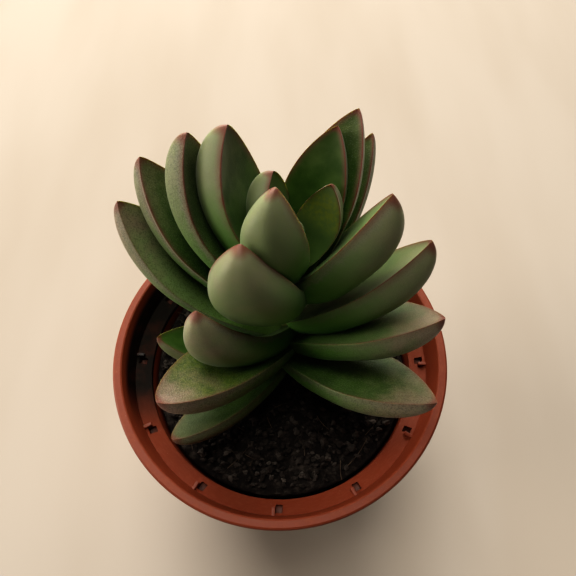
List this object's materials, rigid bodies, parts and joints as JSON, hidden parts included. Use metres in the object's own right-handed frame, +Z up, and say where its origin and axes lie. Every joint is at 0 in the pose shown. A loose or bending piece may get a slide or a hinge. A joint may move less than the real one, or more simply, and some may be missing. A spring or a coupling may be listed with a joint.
{
  "type": "potted succulent",
  "caption": "Potted succulent with thick keeled leaves in crossed ranks on a short leaning stem, standing in dark peat in a small tapered plastic nursery pot.",
  "frame": {"origin": "centre of the pot's flat underside, on the surface that the pot stands on", "axes": "+Z up along the pot's axis; -Y towards the side that the picture shows; the plant leans back towards +Y"},
  "size_m": [0.085, 0.085, 0.1288],
  "materials": {
    "pot": "satin",
    "soil": "matte",
    "stem": "matte",
    "leaf": "satin",
    "bud": "satin"
  },
  "bodies": {
    "root": {"pot": "pot", "soil": "soil", "stem": "stem", "bud": "bud", "leaf_front_1": "leaf", "leaf_front_2": "leaf", "leaf_front_3": "leaf", "leaf_front_4": "leaf", "leaf_front_5": "leaf", "leaf_right_1": "leaf", "leaf_right_2": "leaf", "leaf_right_3": "leaf", "leaf_right_4": "leaf", "leaf_left_1": "leaf", "leaf_left_2": "leaf", "leaf_left_3": "leaf", "leaf_left_4": "leaf", "leaf_left_5": "leaf", "leaf_left_6": "leaf", "leaf_back_1": "leaf", "leaf_back_2": "leaf", "leaf_back_3": "leaf", "leaf_back_4": "leaf"}
  },
  "joints": []
}
